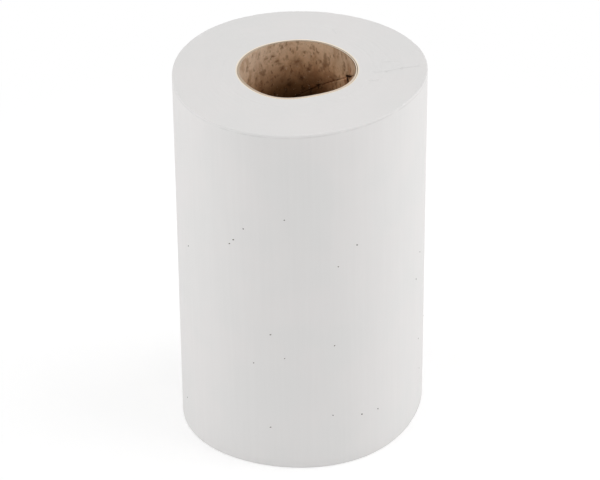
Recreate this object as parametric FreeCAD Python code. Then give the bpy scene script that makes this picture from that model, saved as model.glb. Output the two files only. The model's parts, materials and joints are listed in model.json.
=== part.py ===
import FreeCAD, Part

import math
import os

from FreeCAD import Vector

os.makedirs("parts", exist_ok=True)

# Paper towel roll standing on its end: a web of paper wound on a spiral-wound cardboard core.
# The origin is on the core's axis in the plane of the lower end. +Z runs up the axis and -Y faces the viewer.
# Lengths are in millimetres and angles in degrees, turning from +X towards +Y.

# Roll and core
roll_height = 200.0
roll_diameter = 130.6
core_bore = 59.0
card_thickness = 1.3
paper_thickness = 0.35
tail_direction = 110.0

# The roll has been squeezed in storage, so its outside is a little off the core's axis and out of round.
# Each wave round the outline has an amount, the most that it stands out, and the direction of one of its bulges.
outside_shift = 1.5
outside_shift_direction = -60.0
oval = 1.1
oval_direction = 52.0
three_lobe = 0.9
three_lobe_direction = 12.0

# A spiral groove in both sawn ends marks the turns of the web.
turn_mark_pitch = 3.2
turn_mark_width = 0.8
turn_mark_depth = 0.4

# The inner ply of the core butts against itself along a spiral seam. Its edge is torn up in two places.
seam_lead = 114.0
seam_top_direction = -12.0
seam_gap = 0.9
seam_depth = 0.3
tear_directions = (28.0, 68.0)
tear_length = 5.0
tear_rise = 4.0
tear_depth = 0.5

up = Vector(0, 0, 1)
core_radius = core_bore / 2 + card_thickness
web_depth = roll_diameter / 2 - core_radius
outline_waves = (
    (1, outside_shift, outside_shift_direction),
    (2, oval, oval_direction),
    (3, three_lobe, three_lobe_direction),
)
turn_mark_section = ((-turn_mark_width / 2, 0), (0, turn_mark_depth), (turn_mark_width / 2, 0))

# How many points carry the outline once round
outline_points = 24

# How far a cutting tool stands out of the solid that it cuts
tool_reach = 1.0


def polar(radius, angle, height):
    return Vector(radius * math.cos(math.radians(angle)), radius * math.sin(math.radians(angle)), height)


def smooth_edge(points):
    curve = Part.BSplineCurve()
    curve.interpolate(points)
    return curve.toShape()


def straight_edge(start, end):
    return Part.LineSegment(start, end).toShape()


def joined(edges):
    return Part.Wire(Part.sortEdges(edges)[0])


def closed_solid(faces):
    shell = Part.Shell(faces)
    shell.sewShape()
    solid = Part.Solid(shell)
    if solid.Volume < 0:
        solid.reverse()
    return solid


# Outside of the roll. The last turn of the web ends in a straight tail, one thickness proud of the turn below.

def outside_radius(turned):
    angle = tail_direction + 360 * turned
    waves = sum(amount * math.cos(math.radians(lobes * (angle - at))) for lobes, amount, at in outline_waves)
    return roll_diameter / 2 + waves + paper_thickness * (turned - 0.5)


def outside_edges(height):
    points = []
    for i in range(outline_points + 1):
        turned = i / outline_points
        points.append(polar(outside_radius(turned), tail_direction + 360 * turned, height))
    return [smooth_edge(points), straight_edge(points[-1], points[0])]


# Turn marks: one V groove that winds outwards in half turns. Each half turn is an arc about its own centre,
# and the centres move from the core's axis to the middle of the outside.

def turn_mark_arcs():
    turns = max(1, int((web_depth - oval - three_lobe) / turn_mark_pitch) - 2)
    drift = outside_shift / turns / 2
    centre = 0.0
    radius = core_radius + turn_mark_pitch
    arcs = []
    for i in range(turns):
        for side, growth in ((0, turn_mark_pitch / 2 + drift), (180, turn_mark_pitch / 2 - drift)):
            arcs.append((centre, radius, outside_shift_direction + side))
            centre += growth if side == 0 else -growth
            radius += growth
    return arcs


def turn_mark_corners(arc, turned, height, inward):
    centre, radius, direction = arc
    middle = polar(centre, outside_shift_direction, height)
    return [middle + polar(radius + out, direction + turned, inward * down) for out, down in turn_mark_section]


def turn_mark_faces(height, inward):
    # The faces of the groove, and its footprint in the sawn end
    arcs = turn_mark_arcs()
    faces = []
    footprint = []
    for arc in arcs:
        centre, radius, direction = arc
        middle = polar(centre, outside_shift_direction, height)
        section = Part.makePolygon(turn_mark_corners(arc, 0, height, inward))
        faces += section.revolve(middle, up, 180).Faces
        for side in (-turn_mark_width / 2, turn_mark_width / 2):
            footprint.append(Part.makeCircle(radius + side, middle, up, direction, direction + 180))
    for arc, turned in ((arcs[0], 0), (arcs[-1], 180)):
        corners = turn_mark_corners(arc, turned, height, inward)
        faces.append(Part.Face(Part.makePolygon(corners + corners[:1])))
        footprint.append(straight_edge(corners[0], corners[-1]))
    return faces, joined(footprint)


def end_faces(height, inward):
    faces, footprint = turn_mark_faces(height, inward)
    hole = Part.Wire(Part.makeCircle(core_radius, Vector(0, 0, height), up))
    return faces + Part.makeFace([joined(outside_edges(height)), hole, footprint], "Part::FaceMakerBullseye").Faces


def wound_paper():
    faces = [Part.makeRuledSurface(low, high) for low, high in zip(outside_edges(0), outside_edges(roll_height))]
    faces.append(Part.makeCylinder(core_radius, roll_height).Faces[0])
    return closed_solid(faces + end_faces(0, 1) + end_faces(roll_height, -1))


# Core

def seam_direction(height):
    return seam_top_direction + 360 * (roll_height - height) / seam_lead


def seam_tool():
    # A V section that winds up the bore from below the foot to above the rim
    half_width = seam_gap / 2 * (seam_depth + tool_reach) / seam_depth
    run_out = half_width + tool_reach
    path = Part.makeHelix(seam_lead, roll_height + 2 * run_out, core_bore / 2, 0, True)
    path.translate(Vector(0, 0, -run_out))
    tip = Vector(core_bore / 2 + seam_depth, 0, -run_out)
    base = core_bore / 2 - tool_reach
    corners = [Vector(base, 0, -run_out - half_width), tip, Vector(base, 0, -run_out + half_width)]
    tool = Part.Wire(path.Edges).makePipeShell([Part.makePolygon(corners + corners[:1])], True, True)
    tool.rotate(Vector(0, 0, 0), up, seam_direction(-run_out))
    return tool


def tear_tool(direction):
    # A torn corner of ply: its long edge lies on the seam and its point is above it
    height = roll_height - seam_lead * (direction - seam_top_direction) / 360
    spread = math.degrees(tear_length / core_bore)
    drop = seam_lead * spread / 360
    corners = []
    for turn, rise in ((-spread, drop), (spread, -drop), (spread / 2, tear_rise)):
        corners.append(polar(core_bore / 2 - tool_reach, direction + turn, height + rise))
    face = Part.Face(Part.makePolygon(corners + corners[:1]))
    return face.extrude(polar(tool_reach + tear_depth, direction, 0))


def cardboard_core():
    core = Part.makeCylinder(core_radius, roll_height).cut(Part.makeCylinder(core_bore / 2, roll_height))
    core = core.cut(seam_tool())
    for direction in tear_directions:
        core = core.cut(tear_tool(direction))
    return core.Solids[0]


for name, shape in (("wound_paper", wound_paper()), ("cardboard_core", cardboard_core())):
    print(name, "valid", shape.isValid(), "solids", len(shape.Solids), "cm3", round(shape.Volume / 1000, 1))
    shape.exportStep("parts/" + name + ".step")
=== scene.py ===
import json
import math
import random

import bmesh
import bpy
from mathutils import Euler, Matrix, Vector


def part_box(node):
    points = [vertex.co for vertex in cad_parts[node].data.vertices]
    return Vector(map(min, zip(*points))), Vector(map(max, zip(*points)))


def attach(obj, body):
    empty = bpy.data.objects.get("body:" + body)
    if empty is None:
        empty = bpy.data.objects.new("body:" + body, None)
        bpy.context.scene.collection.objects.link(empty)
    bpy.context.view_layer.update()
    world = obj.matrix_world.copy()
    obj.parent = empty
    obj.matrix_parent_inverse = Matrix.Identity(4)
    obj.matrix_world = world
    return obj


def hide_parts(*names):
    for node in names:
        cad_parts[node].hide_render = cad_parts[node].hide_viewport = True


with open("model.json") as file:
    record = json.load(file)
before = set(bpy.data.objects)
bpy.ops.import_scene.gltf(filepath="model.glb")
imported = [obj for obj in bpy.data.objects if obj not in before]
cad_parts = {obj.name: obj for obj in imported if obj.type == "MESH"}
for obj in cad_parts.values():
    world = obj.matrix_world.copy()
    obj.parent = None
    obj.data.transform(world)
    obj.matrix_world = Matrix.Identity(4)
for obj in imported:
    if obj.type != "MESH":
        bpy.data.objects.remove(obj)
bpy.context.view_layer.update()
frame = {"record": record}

mm = 0.001

# Sizes that the solids give
paperLow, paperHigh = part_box("wound_paper")
rollHeight = paperHigh.z
outsideRadius = (paperHigh.x - paperLow.x + paperHigh.y - paperLow.y) / 4
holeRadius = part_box("cardboard_core")[1].x
boreMount = next(mount for mount in frame["record"]["mounts"] if mount["name"] == "core_bore")
boreRadius = boreMount["dims"]["r_mm"] * mm
print("frame: roll", round(rollHeight / mm, 1), "high, core bore", round(boreRadius / mm, 2))


# A socket that can stand in a sum: each operator adds the Math node that it needs
class Wire:
    def __init__(self, net, socket):
        self.net = net
        self.socket = socket

    def __add__(self, other):
        return self.net.maths("ADD", self, other)

    def __radd__(self, other):
        return self.net.maths("ADD", other, self)

    def __sub__(self, other):
        return self.net.maths("SUBTRACT", self, other)

    def __rsub__(self, other):
        return self.net.maths("SUBTRACT", other, self)

    def __mul__(self, other):
        return self.net.maths("MULTIPLY", self, other)

    def __rmul__(self, other):
        return self.net.maths("MULTIPLY", other, self)

    def __truediv__(self, other):
        return self.net.maths("DIVIDE", self, other)

    def __rtruediv__(self, other):
        return self.net.maths("DIVIDE", other, self)

    def __lt__(self, other):
        return self.net.maths("LESS_THAN", self, other)

    def __gt__(self, other):
        return self.net.maths("GREATER_THAN", self, other)


# A node tree that is being built, for a finish or for Geometry Nodes
class Net:
    def __init__(self, tree):
        self.tree = tree

    def node(self, kind, settings=None, sockets=None, out=0):
        made = self.tree.nodes.new(kind)
        for name, value in (settings or {}).items():
            if name == "stops":
                self.setStops(made.color_ramp, value)
            else:
                setattr(made, name, value)
        for name, value in (sockets or {}).items():
            self.feed(made.inputs[name], value)
        return Wire(self, made.outputs[out]) if made.outputs else None

    def setStops(self, ramp, stops):
        while len(ramp.elements) < len(stops):
            ramp.elements.new(1)
        for element, (place, colour) in zip(ramp.elements, stops):
            element.position = place
            element.color = (*colour, 1)

    def feed(self, socket, value):
        if isinstance(value, Wire):
            self.tree.links.new(value.socket, socket)
        elif socket.type == "VECTOR" and isinstance(value, (int, float)):
            socket.default_value = (value, value, value)
        elif socket.type == "RGBA":
            socket.default_value = (*value, 1)
        else:
            socket.default_value = value

    def maths(self, operation, *values):
        isVector = any(isinstance(value, (tuple, Vector)) for value in values)
        wires = [value for value in values if isinstance(value, Wire)]
        isVector = isVector or any(wire.socket.type in ("VECTOR", "RGBA") for wire in wires)
        kind = "ShaderNodeVectorMath" if isVector else "ShaderNodeMath"
        out = 1 if operation in ("DOT_PRODUCT", "LENGTH", "DISTANCE") else 0
        return self.node(kind, {"operation": operation}, dict(enumerate(values)), out)

    def parts(self, vector):
        split = self.node("ShaderNodeSeparateXYZ", sockets={0: vector})
        return [Wire(self, socket) for socket in split.socket.node.outputs]

    def vector(self, x, y, z):
        return self.node("ShaderNodeCombineXYZ", sockets={0: x, 1: y, 2: z})

    def clamp(self, value, low=0.0, high=1.0):
        return self.node("ShaderNodeClamp", sockets={0: value, 1: low, 2: high})

    # 0 below the low value, 1 above the high value, and a soft step between
    def step(self, value, low, high):
        settings = {"interpolation_type": "SMOOTHSTEP"}
        return self.node("ShaderNodeMapRange", settings, {"Value": value, "From Min": low, "From Max": high})

    # 1 at no distance, falling away over the width
    def bell(self, distance, width):
        share = distance / width
        return self.maths("EXPONENT", share * share * -1)

    # Cloudy noise about 0.5, with features of that size
    def noise(self, place, size, detail=2.0, roughness=0.5, seed=0.0):
        sockets = {"Vector": place, "W": seed, "Scale": 1 / size, "Detail": detail, "Roughness": roughness}
        return self.node("ShaderNodeTexNoise", {"noise_dimensions": "4D"}, sockets)

    # The same noise from -1 to 1
    def swing(self, place, **cloud):
        return (self.noise(place, **cloud) - 0.5) * 2

    # Patches of that noise: 0 where it is below the low value, 1 where it is above the high one
    def patches(self, place, low, high, **cloud):
        return self.step(self.noise(place, **cloud), low, high)

    # The colour sockets of a Mix node stand behind those for numbers and vectors
    def mix(self, factor, first, second):
        return self.node("ShaderNodeMix", {"data_type": "RGBA"}, {0: factor, 6: first, 7: second}, 2)

    # How far a place is from the straight line between two others
    def fromLine(self, place, start, end):
        run = end - start
        along = self.maths("DOT_PRODUCT", place - start, run.normalized())
        nearest = self.clamp(along, 0, run.length) * run.normalized()
        return self.maths("LENGTH", place - start - nearest)

    # A place on a circle about the axis
    def onCircle(self, radius, angle, height):
        return self.vector(self.maths("COSINE", angle) * radius, self.maths("SINE", angle) * radius, height)

    # 0 at both ends of a share, rising to 1 further in
    def inside(self, share, steepness):
        return self.clamp(self.maths("MINIMUM", share, 1 - share) * steepness)


def geometryNet(name, inputs):
    tree = bpy.data.node_groups.new(name, "GeometryNodeTree")
    tree.interface.new_socket("Geometry", in_out="OUTPUT", socket_type="NodeSocketGeometry")
    for label, kind in inputs.items():
        tree.interface.new_socket(label, in_out="INPUT", socket_type=kind)
    net = Net(tree)
    entrance = tree.nodes.new("NodeGroupInput")
    given = {label: Wire(net, entrance.outputs[label]) for label in inputs}
    return net, given


# Runs a Geometry Nodes tree once and keeps the plain mesh
def grow(name, net, values, points=()):
    piece = bpy.data.objects.new(name, bpy.data.meshes.new(name))
    piece.data.from_pydata(points, [], [])
    bpy.context.scene.collection.objects.link(piece)
    modifier = piece.modifiers.new(name, "NODES")
    modifier.node_group = net.tree
    for item in net.tree.interface.items_tree:
        if item.in_out == "INPUT" and item.name in values:
            modifier[item.identifier] = values[item.name]
    depsgraph = bpy.context.evaluated_depsgraph_get()
    mesh = bpy.data.meshes.new_from_object(
        piece.evaluated_get(depsgraph), preserve_all_data_layers=True, depsgraph=depsgraph)
    piece.modifiers.remove(modifier)
    piece.data = mesh
    print(name, "faces", len(mesh.polygons))
    return piece


# A colour as it looks on screen, 0 to 255
def ink(red, green, blue):
    return tuple(((level / 255 + 0.055) / 1.055) ** 2.4 for level in (red, green, blue))


def polar(radius, angle, height):
    turned = math.radians(angle)
    return Vector((radius * math.cos(turned), radius * math.sin(turned), height))


def newFinish(name):
    finish = bpy.data.materials.new(name)
    finish.use_nodes = True
    finish.node_tree.nodes.clear()
    return finish, Net(finish.node_tree)


# Puts a shader on the surface of a finish
def coat(net, shader):
    net.node("ShaderNodeOutputMaterial", sockets={"Surface": shader})


# Out of round shapes: waves round the outline, each with its lobes, amount and the direction of a bulge
shapes = {
    "paperTop": ((1, 1.5 * mm, -60), (2, 1.0 * mm, 67), (3, 1.1 * mm, 10)),
    "paperFoot": ((1, 1.5 * mm, -60), (2, 1.6 * mm, 55), (3, 0.15 * mm, 27), (4, 0.85 * mm, 29)),
    "mouth": ((1, 0.49 * mm, 46), (2, 0.26 * mm, 63), (3, 0.37 * mm, -9), (4, 0.41 * mm, -22),
              (5, 0.15 * mm, -34), (6, 0.15 * mm, 16)),
}


def waves(net, angle, shape):
    total = 0.0
    for lobes, amount, direction in shapes[shape]:
        total = net.maths("COSINE", (angle - math.radians(direction)) * lobes) * amount + total
    return total


# A grid with a vertex at each whole column and row, and those two numbers
def sheetGrid(net, columns, rows):
    sockets = {"Size X": columns - 1, "Size Y": rows - 1, "Vertices X": columns, "Vertices Y": rows}
    grid = net.node("GeometryNodeMeshGrid", sockets=sockets)
    x, y = net.parts(net.node("GeometryNodeInputPosition"))[:2]
    return grid, net.maths("ROUND", x + (columns - 1) / 2), net.maths("ROUND", y + (rows - 1) / 2)


def placed(net, grid, radius, angle, height, flip=False):
    sockets = {"Geometry": grid, "Position": net.onCircle(radius, angle, height)}
    sheet = net.node("GeometryNodeSetPosition", sockets=sockets)
    return net.node("GeometryNodeFlipFaces", sockets={0: sheet}) if flip else sheet


# Keeps a number on a grid for the finish to read. That comes before the grid is placed, because a number that
# follows from its rows and columns can't be worked out later.
def marked(net, grid, name, value, domain="POINT"):
    sockets = {"Geometry": grid, "Name": name, "Value": value}
    return net.node("GeometryNodeStoreNamedAttribute", {"domain": domain}, sockets)


# Joins sheets whose edges meet into one closed skin, soft where it bends little
def sewn(net, sheets, finish, sharpAngle=50, reach=0.003 * mm):
    joined = net.node("GeometryNodeJoinGeometry")
    for sheet in sheets:
        net.tree.links.new(sheet.socket, joined.socket.node.inputs[0])
    skin = net.node("GeometryNodeMergeByDistance", sockets={"Geometry": joined, "Distance": reach})
    skin = net.node("GeometryNodeSetShadeSmooth", {"domain": "FACE"}, {0: skin, "Shade Smooth": True})
    sharp = net.node("GeometryNodeInputMeshEdgeAngle") > math.radians(sharpAngle)
    sockets = {0: skin, "Selection": sharp, "Shade Smooth": False}
    skin = net.node("GeometryNodeSetShadeSmooth", {"domain": "EDGE"}, sockets)
    skin = net.node("GeometryNodeRealizeInstances", sockets={0: skin})
    skin = net.node("GeometryNodeSetMaterial", sockets={"Geometry": skin, "Material": finish})
    net.node("NodeGroupOutput", sockets={0: skin})


# The wound web of paper
paper = {
    "columns": 360,
    "turns": 40,
    "sideRows": 52,
    "rimRows": 4,
    "holeRows": 6,
    "ridgeHeight": 0.05 * mm,
    "ridgePatch": {"size": 14 * mm, "detail": 2, "roughness": 0.5},
    "bands": 0.12 * mm,  # some turns stand higher than others
    "bandPace": 0.45,
    "swell": 0.25 * mm,
    "swellPatch": {"size": 30 * mm, "detail": 1, "roughness": 0.4},
    "lip": 0.3 * mm,  # the paper stands up round the core
    "lipWidth": 0.9 * mm,
    "tailDirection": 110,
    "tailStep": 0.4 * mm,
    "tailWidth": 0.3 * mm,
    "tailTurns": 2,
    "rimRounding": 0.5 * mm,
    "rimRag": 0.2 * mm,
    "rimTeeth": {"size": 2.5 * mm, "detail": 2, "roughness": 0.6, "seed": 3},
    "rimWave": {"size": 18 * mm, "detail": 1, "roughness": 0.5, "seed": 5},
    "rimWaveShare": 1.5,
    "rimTurns": 1.5,
    "sideSwell": 0.07 * mm,
    "sidePatch": {"size": 32 * mm, "detail": 2, "roughness": 0.45},
    "sideFade": 12,  # the swell is full a twelfth of the height in from each rim
    "sideStreak": {"size": 5 * mm, "detail": 2, "roughness": 0.5},
    "sideStreakStretch": (1, 1, 0.12),
    "sideStreakShare": 0.3,
    "seed": 4.0,
    "footSeed": 7,
    "bandSeed": 31,
}
# Pressed lines and dents in the upper end: start and end as radius and direction, then width and depth.
# Lengths are in millimetres.
pressMarks = (
    ((38.5, -5), (45, -4), 0.9, 0.4),
    ((45, -4), (53, 0.5), 0.8, 0.45),
    ((53, 0.5), (62, 2), 0.9, 0.5),
    ((38, -19), (42, -17), 0.9, 0.3),
    ((44, 9), (52, 8), 0.9, 0.25),
    ((39, -18), (41, -18), 2.2, 0.2),
    ((44, 62), (47, 66), 3.5, 0.3),
)
# Nicks in the upper rim: direction, and width and depth in millimetres
rimNicks = ((-24, 0.9, 0.6), (-17, 0.8, 0.35), (24, 1.6, 0.25), (70, 1.8, 0.2), (-144, 1.2, 0.2))


# Share of a turn from the tail at each column, and the share of the tail's step that the web has grown by
# there. The step itself lies between the last two columns.
def tailTurn(net, column):
    last = paper["columns"]
    narrow = paper["tailWidth"] / (2 * math.pi * outsideRadius)
    turned = net.clamp((column - 1) / (last - 2), narrow, 1 - narrow)
    turned = turned - (column < 0.5) * narrow + (column > last - 0.5) * narrow
    return turned, turned * (column < last + 0.5)


# How far the upper rim is out of its plane
def rimRag(net, outline):
    rag = net.swing(outline, **paper["rimTeeth"]) * paper["rimRag"]
    rag = rag + net.swing(outline, **paper["rimWave"]) * paper["rimWaveShare"] * paper["rimRag"]
    for direction, width, depth in rimNicks:
        middle = polar(outsideRadius, direction, 0)
        away = net.maths("LENGTH", outline - middle)
        rag = rag - net.bell(away, width * mm) * depth * mm
    return rag


# A sawn end of the web. Each turn has two rows, a hollow and a crest, and a row winds outwards by one turn.
# Where that would pass the hole or the rim, the row runs along it.
def endSheet(net, given, atTop):
    columns = paper["columns"] + 2
    turns = paper["turns"]
    grid, column, row = sheetGrid(net, columns, 2 * turns + 3)
    turned, grown = tailTurn(net, column)
    angle = turned * 2 * math.pi + math.radians(paper["tailDirection"])
    turn = net.clamp((row - 2) / 2 + turned, 0, turns)
    hole = given["Hole Radius"]
    if atTop:
        hole = hole + waves(net, angle, "mouth")
    shape = "paperTop" if atTop else "paperFoot"
    outside = given["Outside Radius"] + waves(net, angle, shape) - given["Rim Rounding"]
    tail = (grown - 0.5) * given["Tail Step"] * net.step(turn, turns - paper["tailTurns"], turns)
    radius = hole + (outside - hole) * turn / turns + tail
    flat = net.onCircle(radius, angle, 0)
    seed = given["Seed"] if atTop else given["Seed"] + paper["footSeed"]

    inEnd = net.clamp(net.maths("MINIMUM", turn, turns - turn))
    crest = net.maths("MODULO", row, 2) * 2 - 1
    strength = net.noise(flat, **paper["ridgePatch"], seed=seed) + 0.5
    relief = crest * given["Ridge Height"] * strength
    along = turn * paper["bandPace"] + seed * paper["bandSeed"]
    band = net.node("ShaderNodeTexNoise", {"noise_dimensions": "1D"}, {
        "W": along, "Scale": 1, "Detail": 3, "Roughness": 0.6})
    relief = relief + (band - 0.5) * 2 * paper["bands"]
    relief = relief + net.swing(flat, **paper["swellPatch"], seed=seed + 2) * paper["swell"]
    if atTop:
        for start, end, width, depth in pressMarks:
            away = net.fromLine(flat, polar(start[0] * mm, start[1], 0), polar(end[0] * mm, end[1], 0))
            relief = relief - net.bell(away, width * mm) * depth * mm
        relief = relief + net.bell(radius - hole, paper["lipWidth"]) * paper["lip"]
        outline = net.onCircle(outsideRadius, angle, 0)
        rag = rimRag(net, outline) * net.step(turn, turns - paper["rimTurns"], turns)
        height = given["Roll Height"] + relief * inEnd + rag
    else:
        height = net.maths("ABSOLUTE", relief) * inEnd
    return placed(net, marked(net, grid, "turn", turn), radius, angle, height, flip=atTop)


# The side of the web with its two rounded rims
def sideSheet(net, given):
    rimRows = paper["rimRows"]
    rows = paper["sideRows"]
    grid, column, row = sheetGrid(net, paper["columns"] + 2, rows)
    turned, grown = tailTurn(net, column)
    angle = turned * 2 * math.pi + math.radians(paper["tailDirection"])
    rounding = given["Rim Rounding"]
    footArc = net.clamp(row / rimRows) * math.pi / 2
    topArc = net.clamp((rows - 1 - row) / rimRows) * math.pi / 2
    up = net.clamp((row - rimRows) / (rows - 1 - 2 * rimRows))
    height = rounding * (1 - net.maths("COSINE", footArc)) + (given["Roll Height"] - rounding * 2) * up
    height = height + rounding * net.maths("COSINE", topArc)
    inset = rounding * (2 - net.maths("SINE", footArc) - net.maths("SINE", topArc))
    topRadius = given["Outside Radius"] + waves(net, angle, "paperTop")
    footRadius = given["Outside Radius"] + waves(net, angle, "paperFoot")
    radius = footRadius + (topRadius - footRadius) * up + (grown - 0.5) * given["Tail Step"] - inset
    outline = net.onCircle(outsideRadius, angle, height)
    swell = net.swing(outline, **paper["sidePatch"], seed=given["Seed"]) * paper["sideSwell"]
    drawnOut = outline * paper["sideStreakStretch"]
    streaks = net.noise(drawnOut, **paper["sideStreak"], seed=given["Seed"] + 1) - 0.5
    swell = swell + streaks * paper["sideStreakShare"] * paper["sideSwell"]
    radius = radius + swell * net.inside(up, paper["sideFade"])
    flat = outline * (1, 1, 0)
    height = height + rimRag(net, flat) * net.step(row, rows - 1 - 2 * rimRows, rows - 1)
    return placed(net, marked(net, grid, "turn", paper["turns"]), radius, angle, height)


def holeSheet(net, given):
    rows = paper["holeRows"]
    grid, column, row = sheetGrid(net, paper["columns"] + 2, rows)
    turned = tailTurn(net, column)[0]
    angle = turned * 2 * math.pi + math.radians(paper["tailDirection"])
    up = row / (rows - 1)
    radius = given["Hole Radius"] + waves(net, angle, "mouth") * up
    return placed(net, marked(net, grid, "turn", 0), radius, angle, given["Roll Height"] * up, flip=True)


def makePaper(finish):
    net, given = geometryNet("woundWeb", {
        "Roll Height": "NodeSocketFloat",
        "Outside Radius": "NodeSocketFloat",
        "Hole Radius": "NodeSocketFloat",
        "Rim Rounding": "NodeSocketFloat",
        "Ridge Height": "NodeSocketFloat",
        "Tail Step": "NodeSocketFloat",
        "Seed": "NodeSocketFloat",
        "Finish": "NodeSocketMaterial",
    })
    ends = [endSheet(net, given, atTop) for atTop in (True, False)]
    sewn(net, ends + [sideSheet(net, given), holeSheet(net, given)], given["Finish"])
    return grow("wound_web", net, {
        "Roll Height": rollHeight,
        "Outside Radius": outsideRadius,
        "Hole Radius": holeRadius,
        "Rim Rounding": paper["rimRounding"],
        "Ridge Height": paper["ridgeHeight"],
        "Tail Step": paper["tailStep"],
        "Seed": paper["seed"],
        "Finish": finish,
    })


# The spiral-wound cardboard core
core = {
    "columns": 240,
    "rows": 170,
    "outsideRows": 80,
    "cutRows": 7,
    "crowding": 0.7,  # of the columns, beside the seam
    "seamTop": -12,
    "seamLead": 114 * mm,
    "seamWidth": 0.35 * mm,
    "seamDepth": 0.3 * mm,
    "tearDepth": 0.7 * mm,
    "tearEdge": 0.25 * mm,
    "gap": 0.1 * mm,  # between the core and the paper
    "rag": 0.12 * mm,
    "ragPatch": {"size": 1.2 * mm, "detail": 3, "roughness": 0.6},
    "ragFade": 100,
    "waviness": 0.12 * mm,
    "wavyPatch": {"size": 9 * mm, "detail": 3, "roughness": 0.5},
    "reliefFade": 80,
    "seed": 2.0,
}
# Torn corners of the inner ply. The bare triangle has its tip and the two ends of the tear, and what is left
# of the ply hangs on its hinge with its own tip bent in. All are a direction and a depth in millimetres.
tears = (
    {"tip": (32.7, 12.4), "ends": ((19.9, 10.2), (28.6, 16.3)), "hinge": ((20, 11.0), (25.2, 15.4)),
     "flapTip": (25.5, 12.1), "lift": 0.5 * mm},
    {"tip": (70.6, 24.5), "ends": ((66.6, 24.2), (67.8, 26.9)), "hinge": ((66.8, 24.7), (67, 26.5)),
     "flapTip": (67.8, 25.2), "lift": 0.3 * mm},
)
# Where the ply beside a tear stands up a little: direction, and depth, width and height in millimetres
raisedPlies = ((33, 15.5, 1.6, 0.35), (22, 8.0, 1.5, 0.2), (73, 25.5, 1.5, 0.25))


# Angle of the seam at that depth
def seamStart(depth):
    return math.radians(core["seamTop"]) + depth * (2 * math.pi / core["seamLead"])


# Width of the ply, square to its seam
def plyWidth():
    around = 2 * math.pi * boreRadius
    return around * math.sin(math.atan(core["seamLead"] / around))


# Share of a turn from the seam at each column. Columns crowd beside the seam.
def seamTurn(net, column):
    turned = column / core["columns"]
    return turned - net.maths("SINE", turned * 2 * math.pi) * core["crowding"] / (2 * math.pi)


# Angle of a column, which runs down the wall beside the seam
def seamAngle(turned, depth):
    return turned * 2 * math.pi + seamStart(depth)


# The wall laid flat: distance round it and depth below the rim
def onWall(direction, depth):
    return Vector((math.radians(direction) * boreRadius, depth * mm, 0))


# 1 inside a tear and 0 outside, with an edge that soft
def inTear(net, flat, tear, edge):
    corners = [onWall(*corner) for corner in (tear["tip"], *tear["ends"])]
    middle = (corners[0] + corners[1] + corners[2]) / 3
    nearest = 1.0
    for start, end in zip(corners, corners[1:] + corners[:1]):
        out = Vector((end.y - start.y, start.x - end.x, 0)).normalized()
        if out.dot(middle - start) < 0:
            out = -out
        nearest = net.maths("MINIMUM", net.maths("DOT_PRODUCT", flat - start, out), nearest)
    return net.step(nearest, -edge, edge)


def boreSheet(net, given):
    rows = core["rows"]
    grid, column, row = sheetGrid(net, core["columns"] + 1, rows)
    down = 1 - row / (rows - 1)
    depth = given["Roll Height"] * down * down
    turned = seamTurn(net, column)
    angle = seamAngle(turned, depth)
    up = 1 - depth / given["Roll Height"]
    radius = given["Bore Radius"] + waves(net, angle, "mouth") * up
    place = net.onCircle(boreRadius, angle, depth)
    fromSeam = net.maths("MINIMUM", turned, 1 - turned) * plyWidth()
    relief = net.bell(fromSeam, core["seamWidth"]) * core["seamDepth"]
    relief = relief + net.swing(place, **core["wavyPatch"], seed=given["Seed"]) * core["waviness"]
    flat = net.vector(net.maths("WRAP", angle, math.pi, -math.pi) * boreRadius, depth, 0)
    for tear in tears:
        relief = relief + inTear(net, flat, tear, core["tearEdge"]) * core["tearDepth"]
    for direction, down, width, rise in raisedPlies:
        away = net.maths("LENGTH", flat - onWall(direction, down))
        relief = relief - net.bell(away, width * mm) * rise * mm
    radius = radius + relief * net.inside(up, core["reliefFade"])
    grid = marked(net, grid, "cut", 0, "CORNER")
    return placed(net, grid, radius, angle, given["Roll Height"] - depth, flip=True)


def coreOutsideSheet(net, given):
    rows = core["outsideRows"]
    grid, column, row = sheetGrid(net, core["columns"] + 1, rows)
    up = row / (rows - 1)
    angle = seamAngle(seamTurn(net, column), given["Roll Height"] * (1 - up))
    radius = given["Outside Radius"] + waves(net, angle, "mouth") * up
    return placed(net, marked(net, grid, "cut", 0, "CORNER"), radius, angle, given["Roll Height"] * up)


# A sawn end of the core
def cutSheet(net, given, atTop):
    rows = core["cutRows"]
    grid, column, row = sheetGrid(net, core["columns"] + 1, rows)
    depth = 0.0 if atTop else rollHeight
    angle = seamAngle(seamTurn(net, column), depth)
    share = row / (rows - 1)
    inner = given["Bore Radius"]
    outer = given["Outside Radius"]
    shift = waves(net, angle, "mouth") if atTop else 0.0
    radius = inner + (outer - inner) * share + shift
    place = net.onCircle(radius, angle, 0)
    rough = net.noise(place, **core["ragPatch"], seed=given["Seed"]) * core["rag"]
    rough = rough * net.inside(share, core["ragFade"])
    height = given["Roll Height"] - rough if atTop else rough
    return placed(net, marked(net, grid, "cut", share + 1, "CORNER"), radius, angle, height, flip=atTop)


def makeCore(finish):
    net, given = geometryNet("spiralCore", {
        "Roll Height": "NodeSocketFloat",
        "Bore Radius": "NodeSocketFloat",
        "Outside Radius": "NodeSocketFloat",
        "Seed": "NodeSocketFloat",
        "Finish": "NodeSocketMaterial",
    })
    cuts = [cutSheet(net, given, atTop) for atTop in (True, False)]
    sewn(net, [boreSheet(net, given), coreOutsideSheet(net, given)] + cuts, given["Finish"])
    return grow("spiral_core", net, {
        "Roll Height": rollHeight,
        "Bore Radius": boreRadius,
        "Outside Radius": holeRadius - core["gap"],
        "Seed": core["seed"],
        "Finish": finish,
    })


# How far the mouth stands out of round in that direction
def mouthAt(direction):
    return sum(
        amount * math.cos(math.radians(lobes * (direction - at))) for lobes, amount, at in shapes["mouth"])


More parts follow.
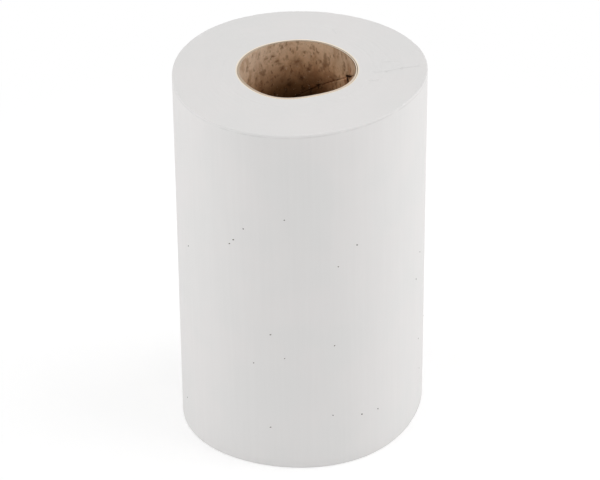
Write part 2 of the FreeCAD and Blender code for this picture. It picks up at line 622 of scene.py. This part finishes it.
# The bent corners of torn ply: triangles of board whose tips curl in from the wall
flap = {"steps": 6, "thickness": 0.35 * mm, "sunk": 0.1 * mm, "curl": 1.5}


# The places in a triangular grid of that many rows
def triangle(rows):
    return [(i, j) for i in range(rows) for j in range(rows - i)]


# Adds the vertices of one face of a flap, that far behind its inner face
def flapPoints(shape, tear, behind):
    steps = flap["steps"]
    tip, start, end = [onWall(*corner) for corner in (tear["flapTip"], *tear["hinge"])]
    points = {}
    for i, j in triangle(steps + 1):
        nearTip = i / steps
        place = tip * nearTip + start * (j / steps) + end * (1 - i / steps - j / steps)
        direction = math.degrees(place.x / boreRadius)
        wall = boreRadius + mouthAt(direction) * (1 - place.y / rollHeight) + flap["sunk"]
        radius = wall - tear["lift"] * nearTip ** flap["curl"] - flap["sunk"] * nearTip
        points[i, j] = shape.verts.new(polar(radius + behind, direction, rollHeight - place.y))
    return points


def makeFlaps(finish):
    shape = bmesh.new()
    steps = flap["steps"]
    rims = (
        [(0, k) for k in range(steps + 1)],
        [(k, 0) for k in range(steps + 1)],
        [(k, steps - k) for k in range(steps + 1)],
    )
    for tear in tears:
        inner, outer = [flapPoints(shape, tear, behind) for behind in (0, flap["thickness"])]
        for points in (inner, outer):
            for i, j in triangle(steps):
                shape.faces.new([points[i, j], points[i + 1, j], points[i, j + 1]])
                if i + j < steps - 1:
                    shape.faces.new([points[i + 1, j], points[i + 1, j + 1], points[i, j + 1]])
        for rim in rims:
            for here, there in zip(rim, rim[1:]):
                shape.faces.new([inner[here], inner[there], outer[there], outer[here]])
    bmesh.ops.recalc_face_normals(shape, faces=shape.faces)
    mesh = bpy.data.meshes.new("torn_ply")
    shape.to_mesh(mesh)
    shape.free()
    mesh.materials.append(finish)
    piece = bpy.data.objects.new("torn_ply", mesh)
    bpy.context.scene.collection.objects.link(piece)
    print("torn_ply faces", len(mesh.polygons))
    return piece


# Bits of bark and old print in the paper: direction and height in millimetres of those in front, and how many
# more there are
flecks = {
    "places": (
        (-96, 152), (-114, 144), (-119, 136), (-121, 133), (-149, 117), (-64, 132), (-73, 122), (-103, 83),
        (-75, 75), (-111, 64), (-97, 69), (-76, 32), (-62, 28), (-53, 27), (-104, 25),
    ),
    "more": 18,
    "moreDirections": (-30, 210),
    "moreHeights": (0.05, 0.95),
    "startOut": 1.2,  # they fall onto the web from outside it
    "radius": 0.38 * mm,
    "smallest": (0.6, 0.6, 0.25),
    "largest": (1.5, 1.0, 0.3),
    "dark": ink(52, 46, 44),
    "pale": ink(96, 84, 74),
    "patch": {"size": 4 * mm, "detail": 1, "roughness": 0.5, "seed": 1},
    "roughness": 0.9,
    "seed": 7,
}


def makeFlecks(web, finish):
    chance = random.Random(flecks["seed"])
    away = outsideRadius * flecks["startOut"]
    places = [polar(away, direction, height * mm) for direction, height in flecks["places"]]
    for _ in range(flecks["more"]):
        direction = chance.uniform(*flecks["moreDirections"])
        places.append(polar(away, direction, chance.uniform(*flecks["moreHeights"]) * rollHeight))
    net, given = geometryNet("fleckScatter", {
        "Geometry": "NodeSocketGeometry",
        "Web": "NodeSocketObject",
        "Radius": "NodeSocketFloat",
        "Seed": "NodeSocketInt",
        "Finish": "NodeSocketMaterial",
    })
    paperShape = net.node("GeometryNodeObjectInfo", sockets={"Object": given["Web"]}, out="Geometry")
    x, y = net.parts(net.node("GeometryNodeInputPosition"))[:2]
    inward = net.vector(x * -1, y * -1, 0)
    sockets = {"Target Geometry": paperShape, "Ray Direction": inward, "Ray Length": 1.0}
    hit = net.node("GeometryNodeRaycast", {"data_type": "FLOAT"}, sockets).socket.node.outputs
    surface = net.node("GeometryNodeSetPosition", sockets={
        "Geometry": given["Geometry"], "Position": Wire(net, hit["Hit Position"])})
    surface = net.node("GeometryNodeMeshToPoints", sockets={0: surface})
    bit = net.node("GeometryNodeMeshUVSphere", sockets={"Segments": 8, "Rings": 4, "Radius": given["Radius"]})
    outward = net.vector(x, y, 0)
    turn = net.node("FunctionNodeAlignRotationToVector", {"axis": "Z"}, {"Vector": outward})
    size = net.node("FunctionNodeRandomValue", {"data_type": "FLOAT_VECTOR"}, {
        0: flecks["smallest"], 1: flecks["largest"], "Seed": given["Seed"]})
    scattered = net.node("GeometryNodeInstanceOnPoints", sockets={
        "Points": surface, "Instance": bit, "Rotation": turn, "Scale": size})
    scattered = net.node("GeometryNodeRealizeInstances", sockets={0: scattered})
    sockets = {"Geometry": scattered, "Material": given["Finish"]}
    scattered = net.node("GeometryNodeSetMaterial", sockets=sockets)
    net.node("NodeGroupOutput", sockets={0: scattered})
    return grow("fibre_flecks", net, {
        "Web": web, "Radius": flecks["radius"], "Seed": flecks["seed"], "Finish": finish}, places)


# White recycled tissue, creamy on the turns next to the core, with painted shade along the pressed lines and
# below the rim
tissue = {
    "colour": ink(228, 226, 225),
    "shade": ink(226, 225, 224),
    "cloud": {"size": 24 * mm, "detail": 1, "roughness": 0.5, "seed": 1, "low": 0.3, "high": 0.7},
    "lip": ink(245, 234, 217),
    "lipTurns": (1.2, 0.3),
    "sideFrom": 0.6,  # turns before the last, where the look of the side begins
    "streaks": 0.045,
    "streak": {"size": 1.8 * mm, "detail": 3, "roughness": 0.6, "seed": 3},
    "streakStretch": (1, 1, 0.03),
    "rings": 0.02,
    "ringPace": 5,
    # Painted shade along the pressed lines of the upper end
    "creaseShade": 0.14,
    "creaseWidth": 0.5 * mm,
    # Painted shadow line below the rim, under the loose edge of the outer turn
    "underRim": 1.3 * mm,  # below the rim the side is a little darker in places
    "underRimWidth": 0.45 * mm,
    "underRimShade": 0.09,
    "underRimPatch": {"size": 7 * mm, "detail": 2, "roughness": 0.6, "seed": 9, "low": 0.35, "high": 0.62},
    "crepe": {"size": 0.7 * mm, "detail": 2, "roughness": 0.6, "seed": 2},
    "crepeStretch": (1, 1, 0.2),
    "sawn": {"size": 0.35 * mm, "detail": 2, "roughness": 0.6, "seed": 6},
    "bumpStrength": 0.3,
    "bumpHeight": 0.06 * mm,
    "roughness": 0.95,
    "specular": 0.1,
}


def tissueFinish():
    finish, net = newFinish("recycledTissue")
    place = net.node("ShaderNodeTexCoord", out="Object")
    x, y, z = net.parts(place)
    turn = net.node("ShaderNodeAttribute", {"attribute_name": "turn"}, out="Fac")
    onSide = net.step(turn, paper["turns"] - tissue["sideFrom"], paper["turns"])
    onEnd = 1 - onSide
    colour = net.mix(net.patches(place, **tissue["cloud"]), tissue["colour"], tissue["shade"])
    streak = (net.noise(place * tissue["streakStretch"], **tissue["streak"]) - 0.5) * tissue["streaks"]
    sockets = {"W": turn * tissue["ringPace"], "Scale": 1, "Detail": 2}
    ring = net.node("ShaderNodeTexNoise", {"noise_dimensions": "1D"}, sockets)
    tone = (ring - 0.5) * tissue["rings"] * onEnd + streak * onSide + 1
    flat = net.vector(x, y, 0)
    # Painted shade along the pressed lines
    for start, end, width, depth in pressMarks:
        away = net.fromLine(flat, polar(start[0] * mm, start[1], 0), polar(end[0] * mm, end[1], 0))
        crease = net.bell(away, min(width, 1) * tissue["creaseWidth"]) * depth * onEnd
        tone = tone * (1 - crease * tissue["creaseShade"])
    # Painted shadow line a little below the rim, in patches
    underRim = net.bell(rollHeight - tissue["underRim"] - z, tissue["underRimWidth"]) * onSide
    underRim = underRim * net.patches(place, **tissue["underRimPatch"])
    tone = tone * (1 - underRim * tissue["underRimShade"])
    colour = colour * net.vector(tone, tone, tone)
    colour = net.mix(net.step(turn, *tissue["lipTurns"]), colour, tissue["lip"])
    crepe = net.noise(place * tissue["crepeStretch"], **tissue["crepe"])
    height = crepe * onSide + net.noise(place, **tissue["sawn"]) * onEnd
    bump = net.node("ShaderNodeBump", sockets={
        "Strength": tissue["bumpStrength"], "Distance": tissue["bumpHeight"], "Height": height})
    coat(net, net.node("ShaderNodeBsdfPrincipled", sockets={
        "Base Color": colour, "Roughness": tissue["roughness"], "Specular IOR Level": tissue["specular"],
        "Normal": bump}))
    return finish


# Grey-brown recycled board. Near the sawn end on the left, lint of the paper and painted light lighten it.
# Further in, painted shade darkens it with depth to dark brown, less at the sides of the bore, and it is
# paler again below. Near the rim on the right it has painted shade. Pairs named across and down are where a
# change starts and ends, measured from the axis and from the rim.
board = {
    "wallDepth": 80 * mm,
    # Painted shade: the wall colour darkens with depth into the bore, darkest at about 34 mm, and is paler
    # again below
    "wallShadeRamp": (
        (0.0, (0.70, 0.50, 0.34)),
        (0.13, (0.68, 0.445, 0.27)),
        (0.21, (0.51, 0.30, 0.163)),
        (0.32, (0.20, 0.10, 0.04)),
        (0.42, (0.07, 0.035, 0.013)),
        (0.6, (0.20, 0.12, 0.065)),
        (1.0, (0.40, 0.27, 0.17)),
    ),
    # Painted light: at the sides of the bore the painted shade by depth is weaker by that share
    "sideLight": 0.3,
    "sideAcross": (7 * mm, 26 * mm),
    # Lint of the paper and painted light near the rim on the left, in this colour; the pale specks use it too
    "lintAndLight": (0.80, 0.66, 0.53),
    "lintAndLightAcross": (2 * mm, -28 * mm),
    "lintAndLightDown": (26 * mm, 2 * mm),
    "lintAndLightAmount": 0.5,
    "cloudTint": (0.62, 0.52, 0.44),
    "cloudAmount": 0.8,
    "cloudStretch": (1, 1, 0.55),
    "cloud": {"size": 8 * mm, "detail": 4, "roughness": 0.65, "seed": 1, "low": 0.44, "high": 0.62},
    "grain": {"size": 1.3 * mm, "detail": 4, "roughness": 0.7, "seed": 5},
    "grainAmount": 0.5,
    "grainBase": 0.77,
    # Painted shade on the right of the bore near the rim
    "rightShade": 0.2,
    "rightAcross": (10 * mm, 27 * mm),
    "rightDown": (15 * mm, 9 * mm),
    "bendSize": 1.6 * mm,  # noise bends the outlines of the specks
    "bend": (2.4 * mm, 3.6 * mm, 0),
    "speckBend": (0.8 * mm, 0.8 * mm, 0.8 * mm),
    "speckStretch": (1, 1, 0.6),
    "speckTint": (0.36, 0.28, 0.22),
    "largeSpecks": {"size": 4 * mm, "detail": 2, "roughness": 0.6, "seed": 11, "low": 0.55, "high": 0.66},
    "largeAmount": 0.6,
    "smallSpecks": {"size": 1.9 * mm, "detail": 2, "roughness": 0.55, "seed": 12, "low": 0.58, "high": 0.67},
    "smallAmount": 0.65,
    "smallUnderLintAndLight": 0.5,
    "placedSpread": 1.1,
    "placedAmount": 0.92,
    "paleSpecks": {"size": 1.2 * mm, "detail": 2, "roughness": 0.6, "seed": 21, "low": 0.62, "high": 0.72},
    "paleAmount": 0.35,
    "seamWidth": 0.4 * mm,
    "seamDown": (31 * mm, 24 * mm),
    "seamAmount": 0.7,
    "seamPatch": {"size": 2 * mm, "detail": 2, "roughness": 0.5, "seed": 8, "low": 0.4, "high": 0.65},
    # Painted shade in the torn triangles, under the bent ply
    "tearShade": (0.06, 0.026, 0.012),
    "tearShadeEdge": 0.15 * mm,
    "rawTint": (1.5, 1.32, 1.34),  # where the ply stands up its clean fibres show
    "rawAmount": 0.6,
    "cutColours": (
        (0.0, ink(74, 54, 38)),
        (0.26, ink(74, 54, 38)),
        (0.38, ink(238, 222, 202)),
        (0.66, ink(238, 222, 202)),
        (0.76, ink(104, 90, 78)),
        (0.9, ink(104, 90, 78)),
        (1.0, ink(220, 206, 188)),
    ),
    "cutFrom": (0.85, 1.0),
    "cutBack": ink(158, 138, 118),
    "backAcross": (22 * mm, 28 * mm),
    "backAmount": 0.7,
    "cutFront": ink(222, 206, 188),
    "frontAcross": (2 * mm, -16 * mm),
    "cutLeft": ink(184, 166, 147),
    "leftAcross": (-12 * mm, -26 * mm),
    "fuzz": {"size": 0.7 * mm, "detail": 3, "roughness": 0.6, "seed": 9},
    "fuzzAmount": 0.3,
    "fuzzBase": 0.85,
    "fibre": {"size": 0.5 * mm, "detail": 3, "roughness": 0.6, "seed": 2},
    "speckDent": 0.5,
    "bumpStrength": 0.5,
    "bumpHeight": 0.1 * mm,
    "roughness": 0.9,
    "specular": 0.12,
}
# The larger specks, which have their places on the wall: direction, and depth and size in millimetres
placedSpecks = (
    (89.5, 12, 1.9), (82, 6.3, 1.0), (104, 2.5, 0.9), (114, 6.6, 0.9), (120, 7, 0.7), (109.5, 10.5, 1.1),
    (68.5, 5.5, 0.8), (50, 4.8, 0.7), (65.5, 10.4, 0.9), (78, 16, 1.4), (104, 15, 1.3), (85, 21.6, 1.3),
    (50, 18.4, 1.0), (97, 25, 1.6),
)


# Colour of the bare wall with its painted shade and painted light, and how much lint and painted light lies
# on it
def wallColour(net, place, x, depth):
    # Painted light: the sides of the bore darken less with depth than its middle
    aside = net.step(net.maths("ABSOLUTE", x), *board["sideAcross"])
    shade = depth * (1 - aside * board["sideLight"]) / board["wallDepth"]
    # Painted shade by depth, from the ramp
    colour = net.node("ShaderNodeValToRGB", {"stops": board["wallShadeRamp"]}, {0: shade})
    # Lint of the paper and painted light: paler near the rim on the left, where the lamp on the right reaches
    lintAndLight = net.step(x, *board["lintAndLightAcross"]) * net.step(depth, *board["lintAndLightDown"]) * board["lintAndLightAmount"]
    colour = net.mix(lintAndLight, colour, board["lintAndLight"])
    cloud = net.patches(place * board["cloudStretch"], **board["cloud"]) * board["cloudAmount"]
    colour = net.mix(cloud, colour, colour * board["cloudTint"])
    grain = net.noise(place, **board["grain"]) * board["grainAmount"] + board["grainBase"]
    # Painted shade on the right of the bore near the rim
    shaded = net.step(x, *board["rightAcross"]) * net.step(depth, *board["rightDown"])
    tone = grain * (1 - shaded * board["rightShade"])
    return colour * net.vector(tone, tone, tone), lintAndLight


# How strongly a dark speck covers each place
def darkSpecks(net, place, bend, bent, lintAndLight):
    streaky = (place + bend * board["speckBend"]) * board["speckStretch"]
    large = net.patches(streaky, **board["largeSpecks"]) * board["largeAmount"]
    small = net.patches(streaky, **board["smallSpecks"])
    # Fewer small specks where the lint and painted light lie
    small = small * (board["smallAmount"] - lintAndLight * board["smallUnderLintAndLight"])
    dark = net.maths("MAXIMUM", large, small)
    for direction, down, size in placedSpecks:
        away = net.maths("LENGTH", bent - onWall(direction, down))
        speck = net.bell(away, size * board["placedSpread"] * mm) * board["placedAmount"]
        dark = net.maths("MAXIMUM", dark, speck)
    return dark


# The sawn end of the board: its plies show on the right, and the rest has plainer colours
def cutColour(net, place, x, y, cut):
    colour = net.node("ShaderNodeValToRGB", {"stops": board["cutColours"]}, {0: cut - 1})
    colour = net.mix(net.step(y, *board["backAcross"]) * board["backAmount"], colour, board["cutBack"])
    colour = net.mix(net.step(y, *board["frontAcross"]), colour, board["cutFront"])
    colour = net.mix(net.step(x, *board["leftAcross"]), colour, board["cutLeft"])
    fuzz = net.noise(place, **board["fuzz"]) * board["fuzzAmount"] + board["fuzzBase"]
    return colour * net.vector(fuzz, fuzz, fuzz)


def boardFinish(name, tearShades):
    finish, net = newFinish(name)
    place = net.node("ShaderNodeTexCoord", out="Object")
    x, y, z = net.parts(place)
    depth = rollHeight - z
    angle = net.maths("ARCTAN2", y, x)
    flat = net.vector(angle * boreRadius, depth, 0)
    sockets = {"Vector": place, "Scale": 1 / board["bendSize"], "Detail": 3}
    bend = net.node("ShaderNodeTexNoise", sockets=sockets, out="Color") - 0.5
    bent = flat + bend * board["bend"]

    colour, lintAndLight = wallColour(net, place, x, depth)
    dark = darkSpecks(net, place, bend, bent, lintAndLight)
    colour = net.mix(dark, colour, colour * board["speckTint"])
    pale = net.patches(place, **board["paleSpecks"]) * board["paleAmount"]
    colour = net.mix(pale, colour, board["lintAndLight"])

    aroundSeam = net.maths("WRAP", angle - seamStart(depth), math.pi, -math.pi)
    fromSeam = net.maths("ABSOLUTE", aroundSeam) * plyWidth() / (2 * math.pi)
    seam = net.bell(fromSeam, board["seamWidth"]) * net.patches(place, **board["seamPatch"])
    seam = seam * board["seamAmount"] * net.step(depth, *board["seamDown"])
    colour = net.mix(seam, colour, colour * board["speckTint"])
    for direction, down, width, _ in raisedPlies:
        away = net.maths("LENGTH", bent - onWall(direction, down))
        raw = net.bell(away, width * mm) * board["rawAmount"]
        colour = net.mix(raw, colour, colour * board["rawTint"])
    # Painted shade in the torn triangles, under the bent ply
    for tear in tearShades:
        colour = net.mix(inTear(net, flat, tear, board["tearShadeEdge"]), colour, board["tearShade"])

    cut = net.node("ShaderNodeAttribute", {"attribute_name": "cut"}, out="Fac")
    colour = net.mix(net.step(cut, *board["cutFrom"]), colour, cutColour(net, place, x, y, cut))
    height = net.noise(place, **board["fibre"]) - dark * board["speckDent"]
    bump = net.node("ShaderNodeBump", sockets={
        "Strength": board["bumpStrength"], "Distance": board["bumpHeight"], "Height": height})
    coat(net, net.node("ShaderNodeBsdfPrincipled", sockets={
        "Base Color": colour, "Roughness": board["roughness"], "Specular IOR Level": board["specular"],
        "Normal": bump}))
    return finish


def fleckFinish():
    finish, net = newFinish("darkFibre")
    place = net.node("ShaderNodeTexCoord", out="Object")
    colour = net.mix(net.noise(place, **flecks["patch"]), flecks["dark"], flecks["pale"])
    sockets = {"Base Color": colour, "Roughness": flecks["roughness"]}
    coat(net, net.node("ShaderNodeBsdfPrincipled", sockets=sockets))
    return finish


# 1 for the rays that see the background: the camera's, and those in gloss and glass
def seenRays(net):
    rays = net.node("ShaderNodeLightPath").socket.node.outputs
    names = ("Is Camera Ray", "Is Glossy Ray", "Is Transmission Ray")
    camera, glossy, glass = [Wire(net, rays[name]) for name in names]
    return net.clamp(camera + glossy + glass)


# A floor that keeps the roll's shadow near it and fades to plain white further out
floor = {
    "halfWidth": 3.0,
    "colour": ink(240, 240, 240),
    "lift": 0.23,
    "fade": (0.15, 0.4),
}


def whiteFloor():
    mesh = bpy.data.meshes.new("floor")
    half = floor["halfWidth"]
    corners = [(-half, -half, 0), (half, -half, 0), (half, half, 0), (-half, half, 0)]
    mesh.from_pydata(corners, [], [(0, 1, 2, 3)])
    ground = bpy.data.objects.new("floor", mesh)
    bpy.context.scene.collection.objects.link(ground)
    finish, net = newFinish("paleFloor")
    x, y = net.parts(net.node("ShaderNodeTexCoord", out="Object"))[:2]
    away = net.maths("SQRT", x * x + y * y)
    plain = net.node("ShaderNodeBsdfDiffuse", sockets={"Color": floor["colour"]})
    lift = net.node("ShaderNodeEmission", sockets={"Color": (1, 1, 1), "Strength": floor["lift"]})
    lifted = net.node("ShaderNodeAddShader", sockets={0: plain, 1: lift})
    white = net.node("ShaderNodeEmission", sockets={"Color": (1, 1, 1), "Strength": 1})
    faded = net.node("ShaderNodeMixShader", sockets={0: net.step(away, *floor["fade"]), 1: lifted, 2: white})
    coat(net, net.node("ShaderNodeMixShader", sockets={0: seenRays(net), 1: plain, 2: faded}))
    mesh.materials.append(finish)


# Soft studio light: a room that is brighter overhead, and two broad lamps that light the sides more than the
# front. Directions are in degrees, sizes and distances in metres.
light = {
    "room": 0.62,
    "overhead": 0.12,
    "lampSize": 2.0,
    "lampDistance": 1.4,
    "lampHeight": 0.7,
    "rightDirection": 0,
    "rightPower": 13.0,
    "leftDirection": 192,
    "leftPower": 10.0,
}


def studioLight():
    world = bpy.data.worlds.new("room")
    bpy.context.scene.world = world
    world.use_nodes = True
    world.node_tree.nodes.clear()
    net = Net(world.node_tree)
    up = net.parts(net.node("ShaderNodeTexCoord"))[2]
    room = net.clamp(up) * light["overhead"] + light["room"]
    strength = seenRays(net) * (1 - room) + room
    sky = net.node("ShaderNodeBackground", sockets={"Color": (1, 1, 1), "Strength": strength})
    net.node("ShaderNodeOutputWorld", sockets={"Surface": sky})
    for side in ("right", "left"):
        lamp = bpy.data.lights.new("softbox", "AREA")
        lamp.size = light["lampSize"]
        lamp.energy = light[side + "Power"]
        holder = bpy.data.objects.new("softbox", lamp)
        bpy.context.scene.collection.objects.link(holder)
        holder.location = polar(light["lampDistance"], light[side + "Direction"], light["lampHeight"])
        aim = Vector((0, 0, rollHeight / 2))
        holder.rotation_euler = (aim - holder.location).to_track_quat("-Z", "Y").to_euler()


# Camera, from the outlines of the roll in the photograph. Its elevation and roll are in degrees.
view = {
    "sensor": 36,
    "lens": 173.25,
    "nearest": 0.1,
    "distance": 1512.5 * mm,
    "elevation": 31.81,
    "roll": -0.88,
    "aim": (0.53 * mm, 0, 98.5 * mm),
}


def standCamera():
    eye = bpy.data.cameras.new("camera")
    eye.sensor_width = view["sensor"]
    eye.lens = view["lens"]
    eye.clip_start = view["nearest"]
    stand = bpy.data.objects.new("camera", eye)
    bpy.context.scene.collection.objects.link(stand)
    elevation = math.radians(view["elevation"])
    back = Vector((0, -math.cos(elevation), math.sin(elevation)))
    stand.location = Vector(view["aim"]) + back * view["distance"]
    tilt = Euler((math.pi / 2 - elevation, 0, 0)).to_matrix()
    roll = Euler((0, 0, math.radians(view["roll"]))).to_matrix()
    stand.rotation_euler = (tilt @ roll).to_euler()
    bpy.context.scene.camera = stand


bpy.context.scene.view_settings.view_transform = "Standard"
standCamera()
whiteFloor()
studioLight()
print("camera, floor and light")

web = makePaper(tissueFinish())
tube = makeCore(boardFinish("recycledBoard", tears))
torn = makeFlaps(boardFinish("tornBoard", ()))
bits = makeFlecks(web, fleckFinish())
slots = ((web, "towel_paper"), (tube, "core_board"), (torn, "core_board"), (bits, "towel_paper"))
for piece, finishSlot in slots:
    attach(piece, "root")
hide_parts("wound_paper")
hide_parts("cardboard_core")

print("pieces in place")
